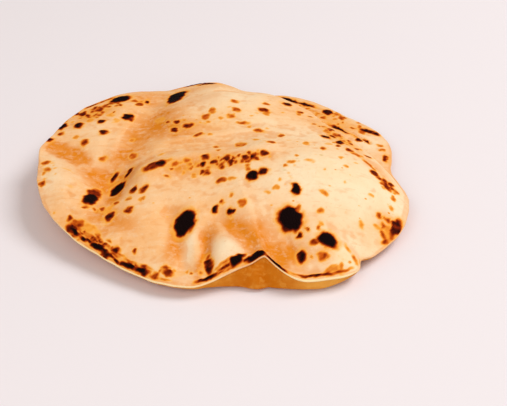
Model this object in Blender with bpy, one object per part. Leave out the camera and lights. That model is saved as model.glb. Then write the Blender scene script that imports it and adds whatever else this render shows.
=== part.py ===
"""Puffed chapati: one thin flatbread that has ballooned and half settled.

A top skin and a lower skin meet at a thin wavy rim. The top skin is a low dome with folds, the rim
curls up on the left, lies pressed flat at the back right, and buckles into a pointed arch at the
front, where the lower skin swells out below it. The bread is modelled as one closed solid, standing
on a small flat spot. Sizes are in millimetres until the mesh is made, which is in metres.

Axes: +X to the right, -Y to the front, +Z up. Angles around the rim run anticlockwise from +X.
"""

import math

import bmesh
import bpy
import numpy as np

# ---------------------------------------------------------------- driving sizes (mm, degrees)
MM = 0.001
RADIUS = 87.0              # the round the dough was rolled to, before the rim's own lobes
CROWN = 21.0               # height of the plain dome at the middle
RIM_THICKNESS = 1.6        # the two skins pressed together at the edge
RIM_HEIGHT = 5.0           # how far the rim stands off the table where nothing lifts it
TUCK = 9.0                 # how far the lower skin draws in below the rim
TOE_HEIGHT = 1.6           # the lower skin's roundness at the foot of its wall
FLAT_SPOT = 0.62           # share of the sole that lies flat on the table
WALL_SHARE = 0.22          # share of the lower skin that stands up as its wall

CELLS = 46                 # grid cells across each skin

# Each lobe is (place around the rim, spread, size, sharpness): 2 is round, 1 is pointed.
OUTLINE_LOBES = {
    "left corner": (176, 6, 2.0, 2),
    "back left edge": (150, 12, 1.5, 2),
    "folded back": (100, 26, -6.0, 2),
    "corner of the back bump": (104, 6, 2.0, 2),
    "dent by the pressed edge": (81, 6, -3.5, 2),
    "pressed edge": (62, 16, 3.5, 2),
    "pressed corner": (26, 13, 5.0, 2),
    "nick beside the pressed edge": (3, 8, -4.0, 2),
    "right cheek": (-30, 22, 8.0, 2),
    "notch": (-46.5, 2.5, -3.0, 2),
    "front right corner": (-54, 8, 7.5, 2),
    "short right leg of the arch": (-66.5, 6, 5.5, 2),
    "front arch": (-74.5, 8, -10.0, 1.4),
    "long left leg of the arch": (-86, 9, -5.5, 2),
    "front left": (-125, 18, -3.0, 2),
    "left edge": (-160, 14, 1.5, 2),
}
RIM_LIFTS = {
    "left curl": (180, 42, 12.5, 2),
    "back left curl": (128, 24, 7.0, 2),
    "back bump": (94, 12, 7.5, 2),
    "right cheek": (-15, 18, 3.0, 2),
    "front right": (-55, 8, 1.5, 2),
    "front arch": (-74.5, 6, 7.5, 1.3),
    "long left leg of the arch": (-83, 9, 3.5, 2),
}
TUCK_LOBES = {
    "left curl": (180, 44, 17.0, 2),
    "back left curl": (128, 24, 8.0, 2),
    "back bump": (94, 14, 6.0, 2),
    "belly under the arch": (-75, 7, -9.5, 2),
    "broad belly": (-79, 14, -8.2, 2),
    "belly left of the arch": (-88.5, 6.5, -3.0, 2),
    "belly right of the arch": (-60, 6.5, -7.5, 2),
}
DOME_SHOULDERS = {
    "right cheek": (-25, 40, 3.0, 2),
    "back": (80, 40, 1.0, 2),
}
DOME_POWER = 2.4           # how square the dome's shoulders are where nothing fattens them

# Each pillow is (x, y, half length, half width, turn, rise): a broad swelling or hollow.
PILLOWS = {
    "right dome": (46, -22, 44, 34, 0, 7.0),
    "back swelling": (6, 44, 34, 26, 0, 4.5),
    "left flap": (-76, -26, 10, 26, 10, 2.0),
    "front right lobe": (46, -72, 16, 9, 0, 3.0),
    "front bulge": (3, -70, 7, 9, 0, 3.0),
    "hollow over the arch": (24, -64, 14, 12, 0, -3.5),
    "left pit": (-51, -36, 8, 13, 0, -2.5),
}

# Each fold is (half width, rise, route over the bread): a ridge, or a crease where it sinks.
FOLDS = {
    "crest": (8.0, 2.5, [(-36, -17), (-17, -11), (9, -11), (20, -5)]),
    "corner crease": (10.0, -4.5, [(-90, 12), (-74, 2), (-62, -9), (-52, -20)]),
    "valley behind the crest": (12.0, -4.0, [(-36, 52), (-42, 22), (-47, 0), (-52, -20)]),
    "crease by the big scorch": (5.0, -2.2, [(-22, -46), (-18, -56), (-15, -76)]),
    "front crease": (4.5, -2.2, [(-6, -64), (-3, -78)]),
    "crease beside the front bulge": (5.0, -1.5, [(2, -50), (14, -70)]),
}

# The edge where the dome steps down to the rim that stayed flat, from back to right.
PRESSED_EDGE = [(10, 88), (27, 66), (48, 48), (60, 24), (75, 6), (90, -20)]
PRESSED_HEIGHT = 4.5
STEP_WIDTH = 9.0


# ---------------------------------------------------------------- shape helpers
def around_rim(angle, lobes, base):
    """A value that runs round the rim: the base plus each named lobe."""
    total = np.full_like(angle, float(base))
    for place, spread, size, sharpness in lobes.values():
        gap = np.abs((angle - place + 180.0) % 360.0 - 180.0)
        total += size * np.exp(-(gap / spread) ** sharpness)
    return total


def pillow(x, y, place_x, place_y, half_length, half_width, turn, rise):
    """A smooth oval swelling."""
    c, s = math.cos(math.radians(turn)), math.sin(math.radians(turn))
    along = ((x - place_x) * c + (y - place_y) * s) / half_length
    across = ((y - place_y) * c - (x - place_x) * s) / half_width
    return rise * np.exp(-(along ** 2 + across ** 2))


def distance_to_route(x, y, route):
    """Distance to a line of straight runs, positive on its left-hand side."""
    best = np.full_like(x, 1e9)
    side = np.ones_like(x)
    for (x0, y0), (x1, y1) in zip(route[:-1], route[1:]):
        run_x, run_y = x1 - x0, y1 - y0
        t = ((x - x0) * run_x + (y - y0) * run_y) / (run_x ** 2 + run_y ** 2)
        t = np.clip(t, 0.0, 1.0)
        gap_x, gap_y = x - x0 - t * run_x, y - y0 - t * run_y
        gap = np.hypot(gap_x, gap_y)
        left = np.where(run_x * gap_y - run_y * gap_x >= 0.0, 1.0, -1.0)
        side = np.where(gap < best, left, side)
        best = np.minimum(gap, best)
    return best * side


def fold(x, y, half_width, rise, route):
    """A ridge or crease along a route, fading out at its ends."""
    return rise * np.exp(-(distance_to_route(x, y, route) / half_width) ** 2)


def smooth_step(value):
    t = np.clip(value, 0.0, 1.0)
    return t * t * (3.0 - 2.0 * t)


# ---------------------------------------------------------------- the two skins
def plan_place(rho, angle):
    """Where a point of the round dough lies in plan: its middle stays round, its rim has lobes."""
    outline = around_rim(angle, OUTLINE_LOBES, RADIUS)
    reach = rho * (RADIUS + (outline - RADIUS) * rho ** 3)
    turn = np.radians(angle)
    return reach * np.cos(turn), reach * np.sin(turn)


def top_height(rho, angle):
    """Height of the top skin: a dome over the wavy rim, then its pillows, folds and pressed edge."""
    x, y = plan_place(rho, angle)
    rim = around_rim(angle, RIM_LIFTS, RIM_HEIGHT)
    shoulder = around_rim(angle, DOME_SHOULDERS, DOME_POWER)
    height = CROWN + (rim - CROWN) * rho ** shoulder
    inland = 1.0 - rho ** 10
    for size in PILLOWS.values():
        height += pillow(x, y, *size) * inland
    for half_width, rise, route in FOLDS.values():
        height += fold(x, y, half_width, rise, route) * inland
    outside = distance_to_route(x, y, PRESSED_EDGE)
    pressed = smooth_step(0.5 + outside / STEP_WIDTH)
    return height + (PRESSED_HEIGHT - height) * pressed * 0.9


def top_skin(rho, angle):
    x, y = plan_place(rho, angle)
    return np.stack([x, y, top_height(rho, angle) + RIM_THICKNESS / 2], axis=-1)


def lower_skin(rho, angle):
    """The lower skin: a wall from the rim to its toe, then the sole to the middle."""
    turn = np.radians(angle)
    rim_x, rim_y = plan_place(np.ones_like(rho), angle)
    rim_reach = np.hypot(rim_x, rim_y)
    rim_height = top_height(np.ones_like(rho), angle) - RIM_THICKNESS / 2
    toe_reach = rim_reach - around_rim(angle, TUCK_LOBES, TUCK)

    down = np.clip((1.0 - rho) / WALL_SHARE, 0.0, 1.0)
    swell_reach = 0.5 * (rim_reach + toe_reach) + 0.25 * np.abs(rim_reach - toe_reach) + 1.0
    swell_height = 0.35 * rim_height
    wall_reach = ((1 - down) ** 2 * rim_reach + 2 * down * (1 - down) * swell_reach
                  + down ** 2 * toe_reach)
    wall_height = ((1 - down) ** 2 * rim_height + 2 * down * (1 - down) * swell_height
                   + down ** 2 * TOE_HEIGHT)

    inward = np.clip(rho / (1.0 - WALL_SHARE), 0.0, 1.0)
    sole_reach = toe_reach * inward
    sole_height = TOE_HEIGHT * smooth_step((inward - FLAT_SPOT) / (1.0 - FLAT_SPOT)) ** 2

    on_wall = rho > 1.0 - WALL_SHARE
    reach = np.where(on_wall, wall_reach, sole_reach)
    height = np.where(on_wall, wall_height, sole_height)
    return np.stack([reach * np.cos(turn), reach * np.sin(turn), height], axis=-1)


def rim_edge(angle):
    """The rounded outer line of the rim, between the two skins."""
    rho = np.ones_like(angle)
    x, y = plan_place(rho, angle)
    grow = 1.0 + 0.4 * RIM_THICKNESS / np.hypot(x, y)
    return np.stack([x * grow, y * grow, top_height(rho, angle)], axis=-1)


# ---------------------------------------------------------------- mesh
def round_grid(cells):
    """A square grid drawn out to a disc: how far out and at what angle each crossing lies."""
    side = np.linspace(-1.0, 1.0, cells + 1)
    a, b = np.meshgrid(side, side, indexing="ij")
    wide = np.abs(a) >= np.abs(b)
    rho = np.where(wide, np.abs(a), np.abs(b))
    with np.errstate(divide="ignore", invalid="ignore"):
        steep = np.where(wide, b / a, a / b)
    steep = np.nan_to_num(steep)
    angle = np.where(wide, 45.0 * steep + np.where(a < 0, 180.0, 0.0),
                     90.0 - 45.0 * steep + np.where(b < 0, 180.0, 0.0))
    return rho, angle


def border_walk(cells):
    """The grid's border crossings in order, anticlockwise."""
    last = cells
    walk = [(last, j) for j in range(0, last)]
    walk += [(i, last) for i in range(last, 0, -1)]
    walk += [(0, j) for j in range(last, 0, -1)]
    walk += [(i, 0) for i in range(0, last)]
    return walk


def build_chapati_mesh(cells):
    """Both skins on the same grid, joined round the rim by its rounded edge."""
    rho, angle = round_grid(cells)
    mesh = bmesh.new()

    def lay_skin(points):
        return [[mesh.verts.new(points[i, j] * MM) for j in range(cells + 1)]
                for i in range(cells + 1)]

    top = lay_skin(top_skin(rho, angle))
    low = lay_skin(lower_skin(rho, angle))
    for i in range(cells):
        for j in range(cells):
            mesh.faces.new([top[i][j], top[i + 1][j], top[i + 1][j + 1], top[i][j + 1]])
            mesh.faces.new([low[i][j], low[i][j + 1], low[i + 1][j + 1], low[i + 1][j]])

    walk = border_walk(cells)
    rim_angles = np.array([angle[i, j] for i, j in walk])
    edge = [mesh.verts.new(point * MM) for point in rim_edge(rim_angles)]
    for k, (i, j) in enumerate(walk):
        n, m = walk[(k + 1) % len(walk)]
        following = edge[(k + 1) % len(walk)]
        mesh.faces.new([top[i][j], edge[k], following, top[n][m]])
        mesh.faces.new([edge[k], low[i][j], low[n][m], following])

    bmesh.ops.recalc_face_normals(mesh, faces=mesh.faces)
    data = bpy.data.meshes.new("chapati")
    mesh.to_mesh(data)
    mesh.free()
    data.shade_smooth()
    return data


def baked_dough():
    """Pale toasted dough, matt and a little warm."""
    material = bpy.data.materials.new("baked_dough")
    material.use_nodes = True
    shader = material.node_tree.nodes["Principled BSDF"]
    shader.inputs["Base Color"].default_value = (0.83, 0.56, 0.30, 1.0)
    shader.inputs["Roughness"].default_value = 0.75
    shader.inputs["Metallic"].default_value = 0.0
    return material


def centre_on_table(data):
    """Put the middle of the bread's box over the origin and its flat spot on the table."""
    points = np.array([vertex.co[:] for vertex in data.vertices])
    low, high = points.min(axis=0), points.max(axis=0)
    middle = (low + high) / 2
    for vertex in data.vertices:
        vertex.co.x -= middle[0]
        vertex.co.y -= middle[1]
        vertex.co.z -= low[2]


def main():
    for leftover in list(bpy.data.objects):
        bpy.data.objects.remove(leftover, do_unlink=True)
    data = build_chapati_mesh(CELLS)
    centre_on_table(data)
    chapati = bpy.data.objects.new("chapati", data)
    chapati.data.materials.append(baked_dough())
    bpy.context.scene.collection.objects.link(chapati)


main()
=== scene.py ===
# %% [markdown]
# # A puffed chapati
# A chapati is a round of thin wholemeal dough, baked on a hot plate and then held over a flame, where
# steam blows its two skins apart. This one has half settled again: a pale top skin with folds, a
# golden lower skin, and between them a thin wavy rim that buckles up into an arch at the front.
# The measured model is loaded first. Its box says how big everything is, and the bread made here
# takes its place.

# %% Load the measured model
import math

import bpy
import numpy as np
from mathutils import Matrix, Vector, noise


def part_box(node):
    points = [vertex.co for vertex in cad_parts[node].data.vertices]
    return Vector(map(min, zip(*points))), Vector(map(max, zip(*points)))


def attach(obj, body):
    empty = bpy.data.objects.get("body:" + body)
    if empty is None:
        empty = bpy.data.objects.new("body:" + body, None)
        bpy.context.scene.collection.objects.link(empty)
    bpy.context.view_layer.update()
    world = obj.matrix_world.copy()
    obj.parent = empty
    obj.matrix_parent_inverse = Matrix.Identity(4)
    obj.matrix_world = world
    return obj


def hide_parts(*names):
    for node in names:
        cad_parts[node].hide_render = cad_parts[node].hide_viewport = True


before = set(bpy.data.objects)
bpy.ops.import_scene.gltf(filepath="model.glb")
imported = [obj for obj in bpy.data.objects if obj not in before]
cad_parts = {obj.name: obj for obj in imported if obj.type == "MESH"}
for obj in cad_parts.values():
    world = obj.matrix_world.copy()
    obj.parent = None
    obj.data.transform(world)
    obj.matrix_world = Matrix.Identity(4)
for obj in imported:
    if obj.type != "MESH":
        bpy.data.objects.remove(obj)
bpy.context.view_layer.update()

MM = 0.001
chapati_low, chapati_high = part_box("chapati")
chapati_size = chapati_high - chapati_low
print("the measured chapati is", [round(side / MM, 1) for side in chapati_size], "mm")

# %% [markdown]
# ## The rolled outline
# Dough rolled by hand is never a true circle. The outline could be drawn point by point, but it is
# easier to change later if it stays a round with named lobes: each lobe pushes the rim out or in at
# one place, fading smoothly to either side. The same idea lifts the rim off the table and says how far
# the lower skin tucks in below it. Angles run anticlockwise from the right, sizes are in millimetres.

# %% Plain sizes
RADIUS = 87.0         # of the round before its lobes
CROWN = 21.0          # height of the dome before its pillows
RIM_THICKNESS = 1.0
RIM_HEIGHT = 5.0      # height of the rim before its lifts
TUCK = 9.0            # how far in from the rim the foot of the lower skin's wall lies
TOE_HEIGHT = 1.6      # height of that foot above the table
FLAT_SPOT = 0.62      # share of the way out to the foot in which the sole lies flat
print("a round of", 2 * RADIUS, "mm across and", CROWN, "mm high, with a rim of", RIM_THICKNESS, "mm")

# %% Table of rim lobes
# Each lobe is (place around the rim, spread, size, sharpness): 2 is round, 1 is pointed.
OUTLINE_LOBES = {
    "left corner": (176, 6, 2, 2),
    "back left edge": (150, 12, 1.5, 2),
    "folded back": (100, 26, -6, 2),
    "corner of the back bump": (104, 6, 2, 2),
    "dent by the pressed edge": (81, 6, -3.5, 2),
    "pressed edge": (62, 16, 3.5, 2),
    "pressed corner": (26, 13, 5, 2),
    "nick beside the pressed edge": (3, 8, -4, 2),
    "right cheek": (-30, 22, 8, 2),
    "notch": (-46.5, 2.5, -3, 2),
    "front right corner": (-54, 8, 7.5, 2),
    "short right leg of the arch": (-66.5, 6, 5.5, 2),
    "front arch": (-74.5, 8, -10, 1.4),
    "long left leg of the arch": (-86, 9, -5.5, 2),
    "front left": (-125, 18, -3, 2),
    "left edge": (-160, 14, 1.5, 2),
}
RIM_LIFTS = {
    "left curl": (180, 42, 12.5, 2),
    "back left curl": (128, 24, 7, 2),
    "back bump": (94, 12, 7.5, 2),
    "right cheek": (-15, 18, 3, 2),
    "front right": (-55, 8, 1.5, 2),
    "front arch": (-74.5, 6, 7.5, 1.3),
    "long left leg of the arch": (-83, 9, 3.5, 2),
}
TUCK_LOBES = {
    "left curl": (180, 44, 17, 2),
    "back left curl": (128, 24, 8, 2),
    "back bump": (94, 14, 6, 2),
    "belly under the arch": (-75, 7, -8, 2),
    "broad belly": (-79, 14, -8.2, 2),
    "belly left of the arch": (-88.5, 6.5, -3, 2),
    "belly right of the arch": (-60, 6.5, -7.5, 2),
}
# The dome is fuller where its power is higher.
DOME_POWER = 2.4
DOME_SHOULDERS = {
    "right cheek": (-25, 40, 3, 2),
    "back": (80, 40, 1, 2),
}
# Each wave is (how many in a turn, start, size).
EDGE_WAVES = [(23, 0.4, 0.10), (37, 2.1, 0.08), (61, 4.0, 0.06)]
LIFT_WAVES = [(17, 1.3, 0.12), (29, 3.7, 0.08), (47, 0.9, 0.05)]
print(len(OUTLINE_LOBES), "lobes in plan and", len(RIM_LIFTS), "lifts of the rim")

# %% Round the rim
NARROW = 5.0          # a lobe with a smaller spread than this, in degrees, stays near the rim
NARROW_FADE = 14      # the power at which such a lobe fades away inland


def turn_between(angle, place):
    """The turn from a place on the rim to an angle, from -180 to 180 degrees."""
    return (angle - place + 180.0) % 360.0 - 180.0


def around_rim(angle, lobes, base, rho=1.0):
    """A value that runs round the rim: the base plus each named lobe.
    Rho is how far out a point lies, from 0 in the middle to 1 on the rim."""
    total = np.full_like(angle, float(base))
    for place, spread, size, sharpness in lobes.values():
        gap = np.abs(turn_between(angle, place))
        inland = rho ** NARROW_FADE if spread < NARROW else 1.0
        total += size * inland * np.exp(-(gap / spread) ** sharpness)
    return total


def ripple(angle, waves):
    """Small waves round the rim."""
    turn = np.radians(angle)
    return sum(size * np.sin(count * turn + start) for count, start, size in waves)


outline_reach = around_rim(np.arange(0.0, 360.0), OUTLINE_LOBES, RADIUS)
print("the rim lies", round(outline_reach.min(), 1), "to", round(outline_reach.max(), 1), "mm out")

# %% [markdown]
# ## Swellings, folds and fine wrinkles
# Steam leaves broad pillows, and where the skin sinks back it folds. A pillow is a smooth oval hill and
# a fold is a hill or a trench along a route. Sculpting by hand would give these too, but a few named
# hills are quicker to tune and always come out the same. The finer wrinkles are added here, because
# they are too narrow for the measured solid.

# %% Table of pillows and folds
# Each pillow is (x, y, half length, half width, turn, rise).
PILLOWS = {
    "right dome": (46, -22, 44, 34, 0, 7),
    "back swelling": (6, 44, 34, 26, 0, 4.5),
    "left flap": (-76, -26, 10, 26, 10, 2),
    "front right lobe": (46, -72, 16, 9, 0, 3),
    "front bulge": (4, -70, 8, 8, 0, 3.2),
    "hollow over the arch": (24, -64, 14, 12, 0, -3.5),
    "left pit": (-51, -36, 8, 13, 0, -2.5),
}
# Each fold is (half width, rise, route over the bread): a ridge, or a crease where it sinks.
FOLDS = {
    "crest": (8, 2.5, [(-36, -17), (-17, -11), (9, -11), (20, -5)]),
    "corner crease": (10, -4.5, [(-90, 12), (-74, 2), (-62, -9), (-52, -20)]),
    "valley behind the crest": (12, -4, [(-36, 52), (-42, 22), (-47, 0), (-52, -20)]),
    "crease by the big scorch": (5, -2.2, [(-22, -46), (-18, -56), (-15, -76)]),
    "front crease": (3.8, -2.4, [(-6, -62), (-4, -78)]),
    "crease beside the front bulge": (5, -1.5, [(2, -50), (14, -70)]),
}
# Wrinkles are narrow folds that run closer to the rim.
WRINKLES = {
    "ridge between the front creases": (2.4, 0.35, [(-10, -56), (-9, -66), (-8, -77)]),
    "sharp front crease": (1.6, -0.35, [(-6, -66), (-4.5, -72), (-3.5, -79)]),
    "thin crease by the big scorch": (1.8, -0.3, [(-20, -56), (-17.5, -66), (-14, -76)]),
    "fold over the arch": (2.4, 0.6, [(14, -60), (19, -66), (20.5, -72)]),
    "crease right of the arch": (2, -0.5, [(30, -62), (33, -70), (36, -78)]),
    "crest lip": (3, 0.3, [(-38, -18), (-28, -14), (-14, -12)]),
    "pit crease": (2.5, -0.4, [(-46, -14), (-52, -22), (-55, -34)]),
    "upper pinch": (2, -0.3, [(-42, -12), (-52, -11), (-60, -7)]),
    "left flap wrinkle": (2, 0.5, [(-88, -8), (-76, -14), (-66, -22)]),
    "second left flap wrinkle": (2.2, -0.4, [(-88, -18), (-76, -24), (-68, -32)]),
    "third left flap wrinkle": (1.8, 0.4, [(-84, -34), (-72, -36), (-62, -42)]),
    "back wrinkle": (1.6, -0.5, [(-4, 57), (5, 58), (14, 55)]),
    "second back wrinkle": (1.4, 0.4, [(-2, 63), (6, 64), (16, 60)]),
    "lip of the pressed edge": (1.8, 0.9, [(30, 62), (47, 47), (58, 25), (72, 6), (86, -16)]),
    "long wrinkle on the pressed edge": (1.3, -0.7, [(52, 52), (60, 47), (68, 42), (76, 32)]),
    "outer wrinkle on the pressed edge": (1.3, 0.5, [(30, 76), (44, 70), (60, 60), (74, 48)]),
    "valley wrinkle": (2.2, 0.4, [(-46, 40), (-52, 20), (-54, 2)]),
    "shallow back wrinkle": (2.2, 0.35, [(-28, 8), (-6, 12), (22, 16), (36, 12)]),
}
# The bread is pressed flat outside this route.
PRESSED_EDGE = [(10, 88), (27, 66), (48, 48), (60, 24), (75, 6), (90, -20)]
PRESSED_HEIGHT = 4.5
PRESSED_SHARE = 0.9   # how much of the dome is lost there
STEP_WIDTH = 9.0      # and over what width it is lost
# Each layer of unevenness is (height, how wide its hills are, which noise).
UNEVENNESS = [(0.45, 17.0, 1.0), (0.22, 7.0, 2.0), (0.08, 2.6, 3.0)]
print(len(PILLOWS), "pillows,", len(FOLDS), "folds and", len(WRINKLES), "fine wrinkles")


# %% Hills and trenches
def oval_axes(far_x, far_y, half_length, half_width, turn):
    """How far points lie along and across an oval, as shares of its half length and half width."""
    cosine, sine = math.cos(math.radians(turn)), math.sin(math.radians(turn))
    along = (far_x * cosine + far_y * sine) / half_length
    across = (far_y * cosine - far_x * sine) / half_width
    return along, across


def pillow(x, y, place_x, place_y, half_length, half_width, turn, rise):
    """A smooth oval swelling."""
    along, across = oval_axes(x - place_x, y - place_y, half_length, half_width, turn)
    return rise * np.exp(-(along ** 2 + across ** 2))


def distance_to_route(x, y, route):
    """Distance to a line of straight runs, positive on its left-hand side."""
    best = np.full_like(x, np.inf)
    side = np.ones_like(x)
    for (start_x, start_y), (end_x, end_y) in zip(route[:-1], route[1:]):
        run_x, run_y = end_x - start_x, end_y - start_y
        share = ((x - start_x) * run_x + (y - start_y) * run_y) / (run_x ** 2 + run_y ** 2)
        share = np.clip(share, 0.0, 1.0)
        gap_x = x - start_x - share * run_x
        gap_y = y - start_y - share * run_y
        gap = np.hypot(gap_x, gap_y)
        left = np.where(run_x * gap_y - run_y * gap_x >= 0.0, 1.0, -1.0)
        side = np.where(gap < best, left, side)
        best = np.minimum(gap, best)
    return best * side


def fold(x, y, half_width, rise, route):
    """A ridge or crease along a route, fading out at its ends."""
    return rise * np.exp(-(distance_to_route(x, y, route) / half_width) ** 2)


def smooth_step(value):
    """A soft rise from 0 to 1."""
    share = np.clip(value, 0.0, 1.0)
    return share * share * (3.0 - 2.0 * share)


def rumple(x, y, *layers):
    """Soft random unevenness, the same in every run, from layers of (height, width, which noise)."""
    total = np.zeros_like(x)
    for height, width, which in layers:
        hills = [noise.noise(Vector((a / width, b / width, which))) for a, b in zip(x.flat, y.flat)]
        total += height * np.array(hills).reshape(x.shape)
    return total


height_of_crest = fold(np.array([-17.0]), np.array([-11.0]), *FOLDS["crest"])[0]
print("on its own route the crest stands", round(float(height_of_crest), 1), "mm proud")

# %% [markdown]
# ## Two skins
# Both skins share one outline. The top skin is a dome that comes down to the rim. The lower skin hangs
# from the rim as a short wall and then runs in along the table. A plain sphere squashed flat would
# never give the thin lip, so each skin is worked out from how far out a point lies and at what angle.

# %% The top skin
FOLDS_FADE = 10       # the power at which pillows and folds die out near the rim
WRINKLES_FADE = 24    # the same for wrinkles, which reach closer to it


def plan_place(rho, angle):
    """Where a point of the round dough lies in plan: its middle stays round, its rim has lobes."""
    outline = around_rim(angle, OUTLINE_LOBES, RADIUS, rho) + ripple(angle, EDGE_WAVES)
    reach = rho * (RADIUS + (outline - RADIUS) * rho ** 3)
    turn = np.radians(angle)
    return reach * np.cos(turn), reach * np.sin(turn)


def top_height(rho, angle, rumpled=True):
    """Height of the top skin: a dome over the wavy rim, then its pillows, folds and pressed edge."""
    x, y = plan_place(rho, angle)
    rim = around_rim(angle, RIM_LIFTS, RIM_HEIGHT) + ripple(angle, LIFT_WAVES)
    shoulder = around_rim(angle, DOME_SHOULDERS, DOME_POWER)
    height = CROWN + (rim - CROWN) * rho ** shoulder
    inland = 1.0 - rho ** FOLDS_FADE
    for size in PILLOWS.values():
        height += pillow(x, y, *size) * inland
    for half_width, rise, route in FOLDS.values():
        height += fold(x, y, half_width, rise, route) * inland
    outside = distance_to_route(x, y, PRESSED_EDGE)
    pressed = smooth_step(0.5 + outside / STEP_WIDTH)
    height += (PRESSED_HEIGHT - height) * pressed * PRESSED_SHARE
    if rumpled:
        nearly_all = 1.0 - rho ** WRINKLES_FADE
        for half_width, rise, route in WRINKLES.values():
            height += fold(x, y, half_width, rise, route) * nearly_all
        height += rumple(x, y, *UNEVENNESS) * nearly_all
    return height


middle_height = top_height(np.zeros(1), np.zeros(1), rumpled=False)[0]
print("the middle of the bread is", round(float(middle_height), 1), "mm high")

# %% The lower skin and the rim
WALL_SHARE = 0.22     # share of the way in from the rim that the wall takes
WALL_SWELL = 0.25     # how far the wall bulges, as a share of how far it is tucked in
LEAST_SWELL = 1.0     # and how far it bulges at the least
SWELL_HEIGHT = 0.35   # how high the bulge lies, as a share of the rim's height
RIM_BULGE = 0.8       # how far the rim stands out, as a share of half its thickness


def bend(start, pull, end, share):
    """A place on a smooth bend that starts at one value, leans to a second and ends at a third."""
    return (1 - share) ** 2 * start + 2 * share * (1 - share) * pull + share ** 2 * end


def lower_skin(rho, angle):
    """The lower skin: a wall from the rim to its toe, then the sole to the middle."""
    turn = np.radians(angle)
    rim_x, rim_y = plan_place(np.ones_like(rho), angle)
    rim_reach = np.hypot(rim_x, rim_y)
    rim_height = top_height(np.ones_like(rho), angle, rumpled=False) - RIM_THICKNESS / 2
    toe_reach = rim_reach - around_rim(angle, TUCK_LOBES, TUCK)

    down = np.clip((1.0 - rho) / WALL_SHARE, 0.0, 1.0)
    swell_reach = (rim_reach + toe_reach) / 2 + WALL_SWELL * np.abs(rim_reach - toe_reach) + LEAST_SWELL
    wall_reach = bend(rim_reach, swell_reach, toe_reach, down)
    wall_height = bend(rim_height, SWELL_HEIGHT * rim_height, TOE_HEIGHT, down)

    inward = np.clip(rho / (1.0 - WALL_SHARE), 0.0, 1.0)
    sole_reach = toe_reach * inward
    sole_height = TOE_HEIGHT * smooth_step((inward - FLAT_SPOT) / (1.0 - FLAT_SPOT)) ** 2

    on_wall = rho > 1.0 - WALL_SHARE
    reach = np.where(on_wall, wall_reach, sole_reach)
    height = np.where(on_wall, wall_height, sole_height)
    return np.stack([reach * np.cos(turn), reach * np.sin(turn), height], axis=-1)


def rim_row(angle, lean):
    """One row of the rounded rim; lean runs from 90 (on the top skin) to -90 (on the lower)."""
    rho = np.ones_like(angle)
    x, y = plan_place(rho, angle)
    half = RIM_THICKNESS / 2
    grow = 1.0 + RIM_BULGE * half * math.cos(math.radians(lean)) / np.hypot(x, y)
    height = top_height(rho, angle, rumpled=False) + half * math.sin(math.radians(lean))
    return np.stack([x * grow, y * grow, height], axis=-1)


toe_at_right = lower_skin(np.array([1.0 - WALL_SHARE]), np.zeros(1))[0]
print("at the right the wall meets the sole", round(float(toe_at_right[0]), 1), "mm out")

# %% [markdown]
# ## The grid
# A disc can be meshed as rings and spokes, but the spokes crowd together in the middle and the faces
# there turn into slivers. Here a square grid is drawn out to the round, so the faces of the top skin are
# small and nearly square, fine enough for the scorch marks. Only at four places on the rim, where the
# square had its corners, are they pressed flat. The lower skin is mostly out of sight, so it gets plain
# rings.

# %% Lay out the grid
CELLS = 270
WALL_RINGS = 12
SOLE_RINGS = 6


def round_grid(cells):
    """How far out and at what angle each crossing of a square grid lies, once it is drawn out round.
    The crossings' places on the square come with them."""
    side = np.linspace(-1.0, 1.0, cells + 1)
    square_x, square_y = np.meshgrid(side, side, indexing="ij")
    round_x = square_x * np.sqrt(1.0 - square_y ** 2 / 2)
    round_y = square_y * np.sqrt(1.0 - square_x ** 2 / 2)
    reach = np.hypot(round_x, round_y)
    return reach, np.degrees(np.arctan2(round_y, round_x)), square_x, square_y


def border_walk(cells):
    """The grid's border crossings in order, anticlockwise."""
    walk = [(cells, j) for j in range(cells)]
    walk += [(i, cells) for i in range(cells, 0, -1)]
    walk += [(0, j) for j in range(cells, 0, -1)]
    walk += [(i, 0) for i in range(cells)]
    return walk


grid_rho, grid_angle, square_x, square_y = round_grid(CELLS)
top_x, top_y = plan_place(grid_rho, grid_angle)
top_z = top_height(grid_rho, grid_angle) + RIM_THICKNESS / 2
walk = border_walk(CELLS)
rim_angles = np.array([grid_angle[i, j] for i, j in walk])
print("the top skin has", grid_rho.size, "points, one about every", round(2 * RADIUS / CELLS, 2), "mm")

# %% [markdown]
# ## Fit the bread to the measured box
# The measured model stands with the middle of its box over the origin. The same is done here, from the
# plain shape before any wrinkles, so that this bread lies exactly where the measured one does.

# %% Fit to the box
plain_low = lower_skin(grid_rho, grid_angle)
plain_edge = rim_row(rim_angles, 0.0)
reach_low = np.minimum(plain_low[..., :2].min(axis=(0, 1)), plain_edge[:, :2].min(axis=0))
reach_high = np.maximum(plain_low[..., :2].max(axis=(0, 1)), plain_edge[:, :2].max(axis=0))
box_middle = np.array([(chapati_low[k] + chapati_high[k]) / 2 / MM for k in range(2)])
shift = box_middle - (reach_low + reach_high) / 2
table_height = chapati_low.z / MM
print("the bread is moved by", np.round(shift, 2), "mm to lie over the measured one")


def placed(points):
    """Rows of points in millimetres, moved to where the measured model stands, in metres."""
    moved = np.asarray(points, dtype=float).reshape(-1, 3).copy()
    moved[:, 0] += shift[0]
    moved[:, 1] += shift[1]
    moved[:, 2] += table_height
    return moved * MM


# %% [markdown]
# ## Where the flame touched
# Scorch marks are blisters that met the hot metal: nearly black in the middle, then a thin brown ring
# and a golden glow. Painting an image would fix them at one sharpness. Instead every mark is one oval in
# a table, and each point of the skin stores how browned it is. The material later turns that one
# number into colour, so the rings always come in the right order.

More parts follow.
